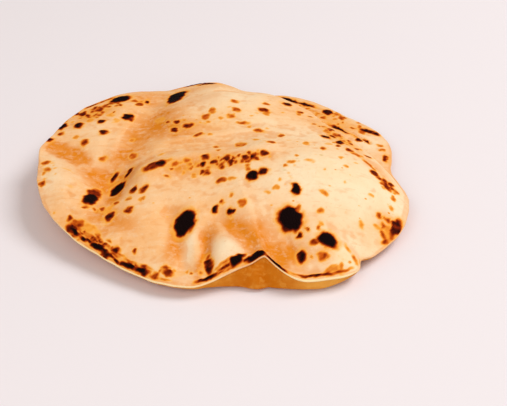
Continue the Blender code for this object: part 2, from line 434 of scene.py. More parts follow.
# %% Table of marks
# Each mark is (x, y, half length, half width, turn, heat). Heat 1 is black, 0.5 brown, 0.25 gold.
MARKS = {
    "big scorches": [
        (-15, -51.8, 5.3, 4.5, 52, 1.15), (32.2, -53.2, 5.5, 4.1, -15, 1.2),
        (48.3, -63.8, 4.3, 3, -5, 1.12), (-48.6, -19.6, 3.8, 2.9, 35, 1.12),
        (-25, 61, 6.2, 4, 55, 1.15), (-25.5, 55.5, 3.8, 2.8, 30, 1), (-55, 58.5, 5.4, 2.7, 28, 1.1),
        (-59.6, -31, 4, 2.7, 60, 1.05), (-58.8, -25.5, 4.6, 2.8, 75, 0.62),
    ],
    "dome": [
        (34.8, -38.3, 2.2, 2.1, 88, 1.1), (15.3, -27.2, 2.6, 2.5, 10, 1.05),
        (20.2, -25.6, 2.4, 1.9, 0, 0.95), (13, -22, 1.6, 0.9, -60, 0.45),
        (5.5, -48.6, 1.4, 1.3, 85, 1.05), (-1.5, -45.8, 1.4, 1.1, 50, 1),
        (11, -44.8, 2.3, 1.8, 0, 0.45), (1, -28, 2.6, 1.5, 5, 0.55),
        (6, -28, 2.6, 1.3, 0, 0.28), (1.3, -42, 1.1, 1.2, 0, 0.5),
        (5.5, -38.8, 1.3, 1.3, 0, 0.4), (36, -61, 1.1, 1.4, 90, 0.8),
        (42.3, -65.3, 2, 1.1, 10, 0.6), (36.5, -72, 2.2, 1.9, 95, 0.9),
        (39.5, -58.5, 0.9, 0.8, 0, 0.6), (44.3, -58, 1.1, 1, 80, 0.5),
        (35.5, -48.6, 1.4, 1.2, 30, 0.55), (45.8, -49, 1.4, 1, -10, 0.42),
        (47.5, -39.5, 1.9, 1, -25, 0.36), (45.5, -55.5, 1.6, 1, -15, 0.25),
        (45.5, -71.5, 2, 1.6, 0, 0.5), (49, -76.5, 3.6, 1, 22, 0.36),
        (53.5, -74.8, 1.4, 1.3, 30, 0.36), (57, -65, 1.8, 1.2, -20, 0.28),
        (59.8, -68, 1.3, 1.2, 0, 0.42), (64.5, -66.3, 1, 1.2, 60, 0.6),
        (64, -50.5, 1.1, 1.4, 0, 0.3), (49, -5.5, 1.6, 1.6, 0, 0.48),
        (41, 0, 1.6, 1.8, 0, 0.27), (24, -1, 1.9, 1.4, -10, 0.5),
        (29.3, 9.5, 1.4, 1.6, 40, 0.52), (9.8, 0, 2.6, 2.3, 0, 0.4),
        (20.8, -11.2, 1.8, 1.7, -15, 0.75), (33.5, -19.5, 1.8, 1, -15, 0.36),
        (30.5, -22, 1.2, 1, 0, 0.42), (42, -19, 3, 1.3, -5, 0.2),
        (57, -13, 1.4, 1.2, 20, 0.26), (59, -20, 1.2, 1.3, -20, 0.3),
        (26, -37, 1.6, 1.2, 30, 0.28), (27.5, -32, 1.1, 1, 0, 0.28),
    ],
    "crest": [
        (-30.5, -15.2, 6.6, 2, 17, 0.68), (-28.2, -14.8, 3, 1.4, 15, 0.95),
        (-43.7, -11.6, 2.3, 1.3, 45, 0.85), (-51, -10.6, 2.3, 1.3, 45, 0.8),
        (-21, -15, 1.7, 1.2, 5, 0.5), (-16, -13, 1.9, 0.9, 0, 0.48),
        (-14.5, -15.6, 0.8, 0.9, 0, 0.4), (-14, -18, 1, 1, 0, 0.42),
        (-10.5, -16.6, 1.4, 0.9, 20, 0.4), (-12, -22.2, 1.4, 1, 0, 0.3),
        (-7, -11.4, 2, 1.6, 0, 0.72), (-8, -15.8, 1.3, 1.3, 0, 0.85),
        (-3.3, -15, 1.1, 1, 40, 0.8), (-8, -20.7, 1.1, 1, 0, 0.7),
        (-6, -22, 1.5, 1, 40, 0.6), (0.8, -17.6, 1.3, 1, 0, 0.6),
        (3, -13.8, 1.8, 1.6, 0, 0.7), (5, -16, 1.4, 1.3, -20, 0.75),
        (5, -17.6, 1.2, 1, 0, 0.65), (7.2, -17, 0.9, 0.9, 0, 0.6),
        (1.2, -18.8, 1.1, 0.9, 10, 0.7), (8.8, -12.6, 1.2, 1, 30, 0.55),
        (10.6, -16.6, 1.2, 1, 20, 0.7), (11.8, -14.2, 1.3, 1.2, 20, 0.75),
        (13.8, -11.4, 1.1, 1, 0, 0.7), (15.5, -13.4, 1.8, 1.2, 25, 0.8),
        (18, -12.2, 1.2, 0.9, 0, 0.42), (-2.5, -0.5, 1.4, 1.2, 10, 0.42),
        (-1, -5.2, 0.9, 0.9, 0, 0.4), (-17, -20, 1.1, 1, 0, 0.28),
    ],
    "left hollow": [
        (-42.8, 1.8, 1.9, 2.2, 35, 0.45), (-57.5, 1, 2.2, 1.2, 0, 0.45),
        (-68, 12.5, 2.4, 2.1, 40, 0.5), (-67.2, 13.4, 1.1, 1.3, 40, 0.68),
        (-45, 17.5, 1.6, 1.3, 30, 0.3), (-40, -28, 1.9, 1.6, 55, 0.8),
        (-34.8, -29, 2.1, 1.4, 45, 0.68), (-41.2, -41.7, 2.1, 1.7, 20, 0.6),
        (-49.5, -44, 2.8, 1.7, 50, 0.82), (-48, -34.3, 1.5, 1, 45, 0.52),
        (-61.2, -38, 1.8, 0.9, 15, 0.5), (-57, -38.6, 1, 1, 0, 0.5),
        (-53.5, -38.2, 1, 1.2, 0, 0.55), (-42, -34, 1.3, 0.9, 15, 0.42),
        (-36, -36.3, 0.9, 1, 0, 0.3), (-34.5, -35.3, 0.9, 0.8, 0, 0.42),
        (-50.5, -38, 4, 1.4, 60, 0.22), (-28.5, -3.8, 2.1, 1, 30, 0.24),
    ],
    "left flap": [
        (-84, -5.5, 2.1, 1.4, 0, 0.48), (-82.5, -12, 1.9, 1.2, -25, 0.45),
        (-83.5, -14.8, 1.2, 1.2, 0, 0.3), (-83.5, -22, 1.6, 1.3, -30, 0.55),
        (-70, -25, 2.6, 1, -10, 0.15), (-73, -12, 4, 0.8, -15, 0.16),
    ],
    "back left": [
        (-49, 38.5, 2.6, 2.3, 20, 1), (-47.6, 36.6, 1.6, 1.8, 30, 0.6),
        (-59.5, 22, 1.9, 2.1, 85, 0.85), (-62, 33, 1.8, 1.7, 10, 0.85),
        (-73.3, 30, 2.4, 2.5, 50, 0.9), (-81.5, 30.5, 2.8, 1.7, 65, 1),
        (-81, 22.5, 1.4, 1.2, 50, 0.6), (-86, 16.2, 1.8, 1.3, 40, 0.85),
        (-73, 18, 1.8, 1.3, 20, 0.3), (-64.5, 47, 2.3, 2, 60, 0.62),
        (-62, 51, 1.8, 1.6, 20, 0.5), (-73, 44, 1.8, 1.8, 30, 0.8),
        (-70, 41, 1.1, 1.3, 0, 0.75), (-76, 44, 1.4, 1.3, 30, 0.6),
        (-68, 45.5, 1.6, 1.3, 0, 0.5), (-62.5, 43, 1.6, 1.3, -20, 0.5),
        (-66, 41, 2.3, 1.6, 40, 0.35), (-58, 40, 2.8, 1.8, 20, 0.22),
        (-68, 35, 2.1, 2.1, 30, 0.25), (-41, 58.3, 1, 1.2, 0, 0.95),
        (-44.5, 54, 2.3, 1.3, 40, 0.6), (-47, 57, 1.9, 1.3, -10, 0.45),
        (-44, 58, 1.2, 1, 0, 0.35), (-54.5, 34, 2.1, 1.8, 20, 0.2),
    ],
    "back": [
        (-23, 26, 1.7, 1.3, -5, 0.7), (-27.5, 28, 1.3, 1.3, 0, 0.55),
        (-23.6, 19.2, 2.2, 1.6, -35, 0.75), (-17, 21.6, 3, 1.8, 10, 0.7),
        (-11.5, 12.6, 2.5, 1.2, 15, 0.52), (-6, 12.6, 1.4, 1, 0, 0.32),
        (-8.4, 28.4, 2.5, 1.8, 40, 0.5), (-5.4, 33.4, 2.1, 2.3, 20, 0.36),
        (-0.8, 26.5, 1.4, 1.3, 0, 0.26), (6, 42, 2.3, 1.6, -5, 0.4),
        (7, 33.6, 2.5, 1.6, -25, 0.5), (4.2, 28.4, 2.6, 1.7, 0, 0.38),
        (10.5, 22, 2.8, 1, 0, 0.5), (18.3, 15, 2.5, 1.2, -15, 0.55),
        (17, 4.4, 1.8, 1.2, -20, 0.28), (20.8, 35.6, 2.6, 1.6, 0, 0.68),
        (22.4, 32.6, 2.1, 1.8, 0, 0.36), (22, 43.5, 1.9, 1.2, 0, 0.45),
        (40, 41.5, 1.4, 1.6, 0, 0.55), (38.8, 37.8, 1.4, 1.3, -20, 0.35),
        (33, 49, 2.3, 1.6, -10, 0.85), (-9, 76, 4.8, 1.6, 0, 0.95),
        (-32, 33.5, 2.6, 3.1, 30, 0.2), (33, 3.5, 1.8, 1, 10, 0.14),
    ],
    "pressed edge": [
        (36, 77.6, 5.4, 1.6, -26, 1), (44.5, 72.8, 4.6, 1.4, -22, 1),
        (56, 64.5, 2.6, 2.2, -30, 0.95), (60.5, 63, 2.6, 1.2, -10, 0.4),
        (53.5, 58.5, 1.5, 1.6, -20, 0.48), (63.5, 58, 1.9, 1.8, -25, 0.5),
        (61.5, 46.6, 5.4, 1, -37, 1), (69, 40, 2.8, 0.9, -40, 0.35),
        (70.3, 36.2, 1.4, 1.6, -40, 0.85), (74.5, 35, 1.8, 0.9, -45, 0.85),
        (75.5, 45.5, 3.8, 1.4, -20, 1), (73.2, 44.5, 2.3, 1.8, -20, 0.42),
        (80, 42.5, 2.1, 1, -30, 0.9), (72, 50, 1.4, 1.3, 0, 0.42),
        (51.5, 11.5, 2.3, 1.3, -30, 0.95), (54.8, 14, 1.5, 1.2, -45, 0.85),
        (57.8, 6.5, 1.7, 1.7, 30, 0.85), (54.8, 5, 1.1, 1, 0, 0.32),
        (56.5, 1, 1.2, 1.2, -10, 0.55), (61.7, -1.4, 1.7, 1.7, 60, 0.62),
        (65, -5, 2.8, 1.6, -45, 0.4), (70.5, -11.5, 4.2, 1, -50, 0.42),
        (56.5, 17, 1.8, 2.1, -20, 0.42), (52, 21, 1.9, 1.3, -50, 0.4),
        (82.6, 18, 2.6, 1.3, 88, 0.68), (81, 30.4, 1.8, 1, -12, 0.42),
        (81.6, 26, 1.9, 1, -22, 0.38), (52, 1.5, 2.1, 1.6, 0, 0.2),
    ],
    "right cheek": [
        (72.5, -18.5, 1.8, 1.6, -10, 0.8), (77.3, -20.4, 1.8, 1.2, -25, 0.6),
        (80.4, -20.8, 1.3, 1.3, -30, 0.75), (78, -24.6, 1.8, 1.2, -30, 0.68),
        (76, -24, 1.4, 1, 0, 0.55), (80.5, -30, 1.1, 1.2, 0, 0.42),
        (80.2, -46, 4.8, 1.9, 55, 0.85), (77, -43.6, 1.7, 1, -15, 0.6),
        (73, -43.6, 1.3, 1.2, -20, 0.52), (74.2, -52, 1.3, 1.2, 0, 0.55),
        (74.8, -54.2, 1.6, 1, 15, 0.62), (77, -49, 2.6, 2.8, 60, 0.28),
        (79, -36.5, 1.2, 1, 0, 0.3),
    ],
    "front left": [
        (-63.5, -48, 3, 1.8, -22, 0.5), (-67.5, -45.2, 1.3, 1.2, 0, 0.6),
        (-66, -50.2, 3, 2, -22, 0.72), (-58.5, -54.5, 2.8, 1.3, -32, 0.42),
        (-53.5, -55.6, 1.6, 0.9, -45, 0.62), (-48, -58.6, 1.5, 0.8, -20, 0.42),
        (-45.2, -63.8, 1.8, 1.2, -20, 0.72), (-49, -65.4, 2.2, 1.4, -18, 0.85),
        (-34, -74.6, 1.3, 0.9, -10, 0.55), (-35.5, -72.5, 0.9, 1, 0, 0.5),
        (-31.3, -76, 2.1, 1.2, -10, 0.85), (-26.5, -78.3, 1.7, 1.3, 0, 0.62),
        (-22.3, -75, 1.8, 1, 0, 0.58), (-21.3, -77.4, 2.6, 1, -12, 0.68),
        (-4.2, -73.6, 1.6, 2, 0, 0.85), (-3.2, -76.2, 1.8, 1.8, 0, 0.8),
        (-4, -70, 1.1, 0.9, 0, 0.5), (-58, -50.5, 6, 1.6, -30, 0.22),
    ],
}

print(sum(len(group) for group in MARKS.values()), "marks in", len(MARKS), "groups")

# %% [markdown]
# ## Char along the rim
# The rim is the thinnest part and burns first, in dashes just inside the pale lip. Those dashes follow
# the rim, so they are given by their angle round the bread and their distance in from the edge.

# %% Table of rim char
# Each dash is (angle where it starts, angle where it ends, distance in from the edge, half width, heat).
RIM_CHAR = {
    "front left": [
        (-142.5, -138.4, 2.2, 0.9, 1.1), (-137.6, -135, 2, 0.8, 1.15), (-136, -133.4, 2.8, 0.6, 0.9),
        (-133, -127.6, 2.2, 1.2, 1.2), (-131.4, -129.2, 3.4, 0.7, 1), (-127.2, -123.6, 1.7, 0.6, 0.8),
        (-126, -122.8, 3.2, 0.7, 0.66), (-123.6, -120.8, 1.4, 0.6, 1),
        (-120.6, -115.6, 1.7, 0.9, 1.2), (-119, -117, 2.6, 0.6, 0.9), (-115.6, -111.8, 2, 1.2, 1.2),
        (-113, -110.4, 2.8, 0.6, 0.8), (-131, -126, 4.8, 0.8, 0.42), (-125.5, -121, 4.4, 0.7, 0.38),
        (-121, -116, 3.8, 0.7, 0.42), (-115, -110, 4.2, 0.6, 0.36),
        (-143, -139, 4.4, 1, 0.46), (-138.5, -134, 5, 1.2, 0.4),
        (-110.4, -107.4, 1.5, 0.6, 0.62), (-106.6, -104, 1.5, 0.5, 0.5),
    ],
    "front of the arch": [
        (-95.6, -90, 1.5, 0.8, 1.1), (-89.4, -86, 2.6, 0.6, 0.8), (-90.4, -87.6, 1.4, 0.5, 0.6),
        (-85.8, -81.8, 2.8, 1.5, 1.2), (-83.6, -80.4, 4.2, 0.8, 0.95), (-81.4, -79, 1.8, 0.7, 0.9),
        (-80.4, -74.4, 1.4, 1.4, 1.25), (-78.4, -75.4, 2.6, 1, 1.1), (-73.6, -69.6, 0.9, 1, 1.15),
        (-88.5, -83, 1.1, 0.5, 0.55), (-91, -85, 4.2, 0.7, 0.42),
    ],
    "right of the arch": [
        (-66.5, -57.5, 1.6, 0.5, 1), (-58, -53, 1.8, 0.5, 0.62),
    ],
    "back": [
        (97, 106, 1.6, 1, 1), (107, 111, 2, 0.8, 0.4),
    ],
    "back left": [
        (134, 141, 1.6, 0.8, 0.55), (141, 146, 1.2, 0.8, 0.75), (158, 162, 1.4, 0.8, 0.9),
    ],
}
print(sum(len(group) for group in RIM_CHAR.values()), "dashes of char along the rim")

# %% [markdown]
# ## Flecks between the marks
# Around the marks lie flecks too small to place one by one. They could be noise in the material, but then
# they would not gather where the skin stood proud. So patches are named, each with a count, and the flecks
# are thrown about them by a random generator that starts the same way in every run.

# %% Table of flecks
# Each patch is (x, y, half length, half width, turn, how many flecks, heat).
FLECK_PATCHES = {
    "crest": (2, -16, 26, 5.5, 6, 34, 0.5),
    "back left": (-66, 44, 15, 6, 42, 34, 0.55),
    "front left rim": (-55, -58, 26, 3.2, -34, 48, 0.5),
    "front rim": (-22, -77, 16, 2.0, -4, 16, 0.45),
    "pressed edge step": (58, 16, 22, 5, -58, 44, 0.55),
    "outer pressed edge": (60, 56, 24, 7, -38, 22, 0.42),
    "top of the right cheek": (78, -23, 6, 4, -20, 9, 0.5),
    "right cheek": (76, -49, 5, 4, 50, 9, 0.42),
    "right dome": (48, -22, 34, 28, 0, 24, 0.22),
    "back": (4, 28, 34, 18, 0, 18, 0.26),
    "left flap": (-82, -15, 5, 12, 0, 11, 0.26),
    "front right": (53, -70, 13, 6, 12, 12, 0.34),
}
print(sum(patch[5] for patch in FLECK_PATCHES.values()), "flecks")

# %% Scatter the flecks
FLECK_SEED = 12
FLECK_SPREAD = 0.5            # how far flecks stray, as a share of their patch's half sizes
FLECK_SIZES = (0.5, 0.95)     # smallest and largest half width
FLECK_STRETCHES = (1.0, 1.8)  # how much longer than wide
FLECK_TURNS = (-30.0, 30.0)
FLECK_HEATS = (0.5, 1.4)      # shares of the patch's heat


def scatter_flecks():
    """Small flecks thrown about each patch, thickest in its middle. Each is an oval like a mark."""
    luck = np.random.default_rng(FLECK_SEED)
    flecks = []
    for x, y, half_length, half_width, turn, count, heat in FLECK_PATCHES.values():
        cosine, sine = math.cos(math.radians(turn)), math.sin(math.radians(turn))
        for _ in range(count):
            along, across = luck.normal(0.0, FLECK_SPREAD, 2) * (half_length, half_width)
            size = luck.uniform(*FLECK_SIZES)
            flecks.append((x + along * cosine - across * sine, y + along * sine + across * cosine,
                           size * luck.uniform(*FLECK_STRETCHES), size, luck.uniform(*FLECK_TURNS),
                           heat * luck.uniform(*FLECK_HEATS)))
    return flecks


flecks = scatter_flecks()
print("the hottest fleck has a heat of", round(max(fleck[5] for fleck in flecks), 2))

# %% [markdown]
# ## How browned each point is
# A mark is darkest in its middle, soft at its edge and ringed by a golden glow. Where marks overlap, the
# hotter one wins, as on the real skin. The places are shaken a little by noise first, so that no mark is
# a true oval.

# %% Browning of every point
DRAWN_OUT = 1.3       # marks are longer from front to back than the tables say
GLOW = 0.19           # how browned the ring of glow is
TOAST = 0.3           # how toasted the dough between flecks is, as a share of their heat
SQUARENESS = 4        # a rim dash is an oval with squarer ends: 2 would be a plain one
# Each layer of noise is (height, width, which noise). The first two shake the places of the marks.
WANDER_X = [(1.1, 3.0, 11.0), (0.35, 1.3, 12.0)]
WANDER_Y = [(1.1, 3.0, 13.0), (0.35, 1.3, 14.0)]
PATCHINESS = [(0.35, 2.2, 15.0), (0.12, 0.9, 16.0)]
DASH_WANDER_ROUND = 0.7       # dashes of rim char are shaken less than the other marks
DASH_WANDER_IN = 0.55


def oval_browning(x, y, mark):
    """How browned one mark makes each point: full inside the oval, gone a little way outside it."""
    place_x, place_y, half_length, half_width, turn, heat = mark
    along, across = oval_axes(x - place_x, (y - place_y) / DRAWN_OUT, half_length, half_width, turn)
    gap = (np.hypot(along, across) - 1.0) * min(half_length, half_width)
    edge_width = 0.55 + 0.2 * min(half_width, 3.5)
    glow_width = 1.9 + 0.4 * half_width
    middle = smooth_step(0.5 - gap / (2.0 * edge_width))
    glow = smooth_step(1.0 - gap / glow_width)
    return np.maximum(heat * middle, GLOW * min(heat, 1.0) * glow)


def dash_browning(angle, inset, dash):
    """How browned one dash of rim char makes each point."""
    start, end, depth, half_width, heat = dash
    around = turn_between(angle, (start + end) / 2) / ((end - start) / 2)
    across = (inset - depth) / half_width
    reach = (around ** SQUARENESS + across ** SQUARENESS) ** (1.0 / SQUARENESS)
    edge_width = 0.45 + 0.3 * half_width
    return heat * smooth_step(0.5 - (reach - 1.0) * half_width / (2.0 * edge_width))


def browning_at(x, y, angle, inset):
    """How browned each point is: the hottest of all that reaches it."""
    browned = np.zeros_like(x)
    for *oval, _, heat in FLECK_PATCHES.values():
        browned = np.maximum(browned, pillow(x, y, *oval, TOAST * heat))
    for group in [*MARKS.values(), flecks]:
        for mark in group:
            browned = np.maximum(browned, oval_browning(x, y, mark))
    for group in RIM_CHAR.values():
        for dash in group:
            browned = np.maximum(browned, dash_browning(angle, inset, dash))
    return browned


skin_x, skin_y = top_x + shift[0], top_y + shift[1]
rim_reach = np.hypot(*plan_place(np.ones_like(grid_rho), grid_angle))
inset = rim_reach - np.hypot(top_x, top_y)
wander_x = rumple(skin_x, skin_y, *WANDER_X)
wander_y = rumple(skin_x, skin_y, *WANDER_Y)
browned = browning_at(skin_x + wander_x, skin_y + wander_y,
                      grid_angle + DASH_WANDER_ROUND * wander_y, inset + DASH_WANDER_IN * wander_x)
not_black = smooth_step(1.6 - 0.9 * browned)
browned = browned * (1.0 + rumple(skin_x, skin_y, *PATCHINESS) * not_black)
print("share of the top skin scorched dark:", round(float((browned > 0.6).mean()), 3))

# %% [markdown]
# ## Where the skin is golden
# Thin or steamed places stay golden while the raised ones turn pale and floury. The gold is also painted
# shade, laid deepest in the valleys, creases and slopes turned from the lamp, and the pale floury tint is
# also painted light on the domes and ridges that face it. Like the marks, this is kept as one number on
# each point, from broad ovals and along the creases. A crease is found by comparing each point with the
# average height around it.

# %% Tints in ovals
TINT_FLATNESS = 1.5   # above 1, a golden patch is more even in its middle
HOLLOW_REACH = 14     # how many passes the average around a point takes
HOLLOW_DEPTH = 0.06   # a point this far below that average lies in a crease


def stain(x, y, place_x, place_y, half_length, half_width, turn, strength):
    """An oval tint, even in the middle and fading over its edge."""
    along, across = oval_axes(x - place_x, y - place_y, half_length, half_width, turn)
    return strength * np.exp(-(along ** 2 + across ** 2) ** TINT_FLATNESS)


def strongest(patches, tint, x, y, least=0.0):
    """The strongest of many tints at each point."""
    total = np.full_like(x, least)
    for patch in patches.values():
        total = np.maximum(total, tint(x, y, *patch))
    return total


def average_around(height, passes):
    """The average height around each point, wider with each pass."""
    for _ in range(passes):
        padded = np.pad(height, 1, mode="edge")
        height = (padded[:-2, 1:-1] + padded[2:, 1:-1] + padded[1:-1, :-2] + padded[1:-1, 2:]) / 4
    return height


# The creases found here are tinted more golden further on, as painted shade.
hollow = smooth_step((average_around(top_z, HOLLOW_REACH) - top_z) / HOLLOW_DEPTH)
print("share of the top skin lying in creases:", round(float(hollow.mean()), 3))

# %% Golden places, partly painted shade
# Each patch is (x, y, half length, half width, turn, strength). Valleys, creases and slopes turned
# away from the lamp, such as 'under the crest' and 'head of the front crease', get gold as painted shade.
GOLDEN_PATCHES = {
    "valley": (-34, 28, 17, 10, 50, 1),
    "lower valley": (-48, 2, 15, 9, 62, 0.65),
    "valley floor": (-24, 20, 13, 10, 0, 0.85),
    "corner crease": (-76, 6, 15, 6, -36, 1),
    "left hollow": (-55, -13, 14, 8, -25, 0.85),
    "pit": (-48.5, -28, 8, 3.5, 80, 0.9),
    "below the pit": (-49, -46, 13, 7, -32, 0.85),
    "back left rim": (-68, 42, 14, 7, 45, 0.6),
    "back rim": (-40, 62, 26, 7, 8, 0.5),
    "back slope": (-20, 46, 20, 8, 10, 0.3),
    "beside the big scorch": (-19, -60, 15, 3.6, 80, 1),
    "front crease": (-6, -72, 12, 2.6, 76, 1),
    "head of the front crease": (-4, -58, 7, 4, 75, 0.8),
    "over the arch": (26, -71, 16, 8, 5, 0.9),
    "above the arch": (13, -60, 13, 8, -35, 1),
    "lobe right of the arch": (41, -72, 9, 4, 5, 0.55),
    "under the crest": (-43, -14, 12, 4.5, 35, 0.8),
    "back side of the swelling": (-24, 58, 14, 6, 55, 0.4),
    "front left corner": (-63, -52, 8, 5, -40, 0.9),
    "front left rim": (-46, -68, 20, 4, -34, 0.8),
    "front rim": (-20, -80, 16, 2.5, 0, 0.3),
    "front right lobe": (49, -77, 12, 2, 14, 0.3),
    "crest": (-4, -14.5, 27, 5, 4, 0.75),
    "pressed edge step": (57, 16, 20, 6, -60, 0.5),
    "lower pressed edge step": (72, -10, 14, 4, -50, 0.45),
    "outer pressed edge": (56, 60, 26, 6, -36, 0.45),
    "right cheek": (77, -47, 7, 6, 55, 0.5),
}
# Painted shade: a crease gets this much more gold, where shade would gather in it.
CREASE_SHADE_GOLD = 0.35    # how much more golden a crease is
sway_x = rumple(skin_x, skin_y, (2.0, 8.0, 22.0))
sway_y = rumple(skin_x, skin_y, (2.0, 8.0, 23.0))
golden = strongest(GOLDEN_PATCHES, stain, skin_x + sway_x, skin_y + sway_y) + CREASE_SHADE_GOLD * hollow
golden = np.clip(golden * (1.0 + rumple(skin_x, skin_y, (0.3, 9.0, 21.0))), 0.0, 1.0)
print("golden on average:", round(float(golden.mean()), 2))

# %% Floury places, partly painted light
# Pale patches: partly flour, partly painted light on the domes and ridges that face the lamp, such as the
# right dome and the front bulge.
FLOURY_AND_LIT_PATCHES = {
    "right dome": (52, -26, 44, 34, 0, 1),
    "upper dome": (30, 14, 30, 22, -20, 0.75),
    "back swelling": (6, 50, 26, 20, 0, 0.75),
    "middle": (-4, -32, 18, 12, 20, 0.35),
    "fold by the front creases": (-12, -64, 12, 2.8, 82, 0.75),
    "front bulge": (5.5, -69, 7.5, 8, 0, 0.95),
    "front right lobe": (54, -68, 20, 15, 14, 1),
    "left flap": (-80, -16, 12, 22, 0, 0.6),
    "front left": (-26, -76, 18, 5, -12, 0.6),
    "back left plateau": (-64, 20, 14, 12, 0, 0.4),
    "left of the pit": (-66, -36, 12, 9, 0, 0.3),
    "outer pressed edge": (66, 58, 24, 6, -38, 0.75),
    "corner of the pressed edge": (76, 34, 12, 13, -30, 0.9),
    "right cheek": (82, -30, 14, 30, 0, 1),
}
floury_and_lit = strongest(FLOURY_AND_LIT_PATCHES, pillow, skin_x, skin_y)
print("floury on average:", round(float(floury_and_lit.mean()), 2))

# %% Where the small freckles gather
FRECKLE_PATCHES = {
    "crest": (2, -16, 26, 6, 6, 1),
    "back left": (-66, 42, 16, 9, 40, 0.8),
    "front left rim": (-52, -64, 28, 5, -36, 0.8),
    "pressed edge step": (60, 14, 26, 9, -58, 0.8),
    "right cheek": (78, -36, 18, 6, 80, 0.6),
    "dome": (40, -36, 34, 28, 0, 0.35),
    "back": (0, 26, 40, 20, 0, 0.35),
    "left flap": (-78, -16, 10, 16, 0, 0.4),
}
freckled = strongest(FRECKLE_PATCHES, pillow, skin_x, skin_y, least=0.12)
print("freckled on average:", round(float(freckled.mean()), 2))

# %% [markdown]
# ## Blisters
# A scorch mark is black because that spot stood proud and touched the metal. So each mark also lifts
# the skin a little, with a rougher top than the dough around it.

# %% Raise the blisters
BLISTER_RISE = 0.38
BLISTER_HEAT = 0.45   # how browned the skin is where it starts to rise
BLISTER_SPAN = 0.6    # and how much more browned where it has risen fully
blister = smooth_step((browned - BLISTER_HEAT) / BLISTER_SPAN)
top_z = top_z + blister * (BLISTER_RISE + rumple(skin_x, skin_y, (0.22, 1.5, 31.0)))
print("the highest point is", round(float(top_z.max()), 1), "mm up")

# %% [markdown]
# ## One closed skin
# Top skin, rounded rim, wall and sole are joined into one closed mesh, as the real bread is one piece.
# The faces are quads, apart from a small fan of triangles under the middle. The rows of the rim are close
# enough together to look round.

# %% Faces of the top skin
row_length = CELLS + 1
points = [np.stack([top_x, top_y, top_z], axis=-1).reshape(-1, 3)]
faces = []
for i in range(CELLS):
    for j in range(CELLS):
        corner = i * row_length + j
        faces.append((corner, corner + row_length, corner + row_length + 1, corner + 1))
top_face_count = len(faces)
rows = [[i * row_length + j for i, j in walk]]
print("the top skin has", top_face_count, "faces")

# %% Rim, wall and sole
RIM_LEANS = (50.0, 0.0, -50.0)


def add_row(row_points):
    """Add a ring of points and join it to the ring before."""
    first = sum(len(group) for group in points)
    points.append(row_points)
    ring = list(range(first, first + len(row_points)))
    above = rows[-1]
    for k in range(len(ring)):
        after = (k + 1) % len(ring)
        faces.append((above[k], ring[k], ring[after], above[after]))
    rows.append(ring)


for lean in RIM_LEANS:
    add_row(rim_row(rim_angles, lean))
rim_face_end = len(faces)
for ring in range(WALL_RINGS + 1):
    rho = 1.0 - WALL_SHARE * ring / WALL_RINGS
    add_row(lower_skin(np.full_like(rim_angles, rho), rim_angles))
wall_face_end = len(faces)
for ring in range(1, SOLE_RINGS + 1):
    rho = (1.0 - WALL_SHARE) * (1.0 - ring / (SOLE_RINGS + 1.0))
    add_row(lower_skin(np.full_like(rim_angles, rho), rim_angles))
centre = sum(len(group) for group in points)
points.append(np.array([[0.0, 0.0, 0.0]]))
last_row = rows[-1]
for k in range(len(last_row)):
    faces.append((last_row[k], centre, last_row[(k + 1) % len(last_row)]))
print("with rim, wall and sole there are", len(faces), "faces")

# %% One piece
all_points = np.concatenate(points)
all_points[:, 2] = np.maximum(all_points[:, 2], 0.0)
mesh = bpy.data.meshes.new("puffed_chapati")
mesh.from_pydata(placed(all_points).tolist(), [], faces)
mesh.update()
mesh.shade_smooth()
chapati = bpy.data.objects.new("puffed_chapati", mesh)
bpy.context.scene.collection.objects.link(chapati)
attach(chapati, "root")
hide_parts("chapati")
triangles = sum(len(face.vertices) - 2 for face in mesh.polygons)
print("puffed_chapati has", triangles, "triangles")

# %% [markdown]
# ## Store the numbers on the points
# A mesh can carry any number per point. The material reads them by name, so the colour always stays
# where the shape wants it, from every side.

# %% Point numbers
def store(name, top_values, rim_values, wall_values):
    """Keep one number on every point: the top skin's own, then the rim's and the wall's by angle."""
    values = np.zeros(len(all_points))
    values[:rows[1][0]] = np.asarray(top_values).reshape(-1)
    for row_number, row in enumerate(rows[1:], start=1):
        values[row] = rim_values if row_number <= len(RIM_LEANS) else wall_values
    attribute = mesh.attributes.new(name, "FLOAT", "POINT")
    attribute.data.foreach_set("value", values.astype(np.float32))


# Each lobe is (place around the rim, spread, strength, sharpness).
# The pale lip is partly dough left less browned and partly a painted highlight where the rim's edge
# catches the light.
PALE_AND_LIT_LIP = {"right leg of the arch": (-62, 12, 0.9, 4), "front left": (-118, 36, 0.75, 4)}
# On the wall, 'under the arch' is painted shade, deeper gold where the arch shades it, and 'right of the
# arch' is painted light, paler where the wall comes out of that shade.
PALE_WALL = {"right of the arch": (-60, 9, 0.8, 2), "left of the arch": (-96, 8, 0.3, 2)}
DEEP_WALL = {"under the arch": (-79, 13, 0.55, 2), "right side": (0, 60, 0.3, 2)}

LIP_BASE = 0.1        # how pale the rim is where no lobe makes it paler
LIP_WIDTH = 0.8
LIP_ON_TOP = 0.7      # the lip is a little weaker on the top skin than on the rim itself
lip = LIP_ON_TOP * smooth_step(1.0 - inset / LIP_WIDTH) * around_rim(grid_angle, PALE_AND_LIT_LIP, LIP_BASE)
lip_on_rim = around_rim(rim_angles, PALE_AND_LIT_LIP, LIP_BASE)
store("browning", browned, 0.0, 0.0)
store("golden", golden, 0.2, around_rim(rim_angles, DEEP_WALL, 0.2))
store("floury_and_lit", floury_and_lit, 0.3, around_rim(rim_angles, PALE_WALL, 0.25))
store("freckled", freckled, 0.1, 0.1)
store("lip", lip, lip_on_rim, 0.0)
print("numbers on the points:", [kept.name for kept in mesh.attributes if kept.data_type == "FLOAT"])
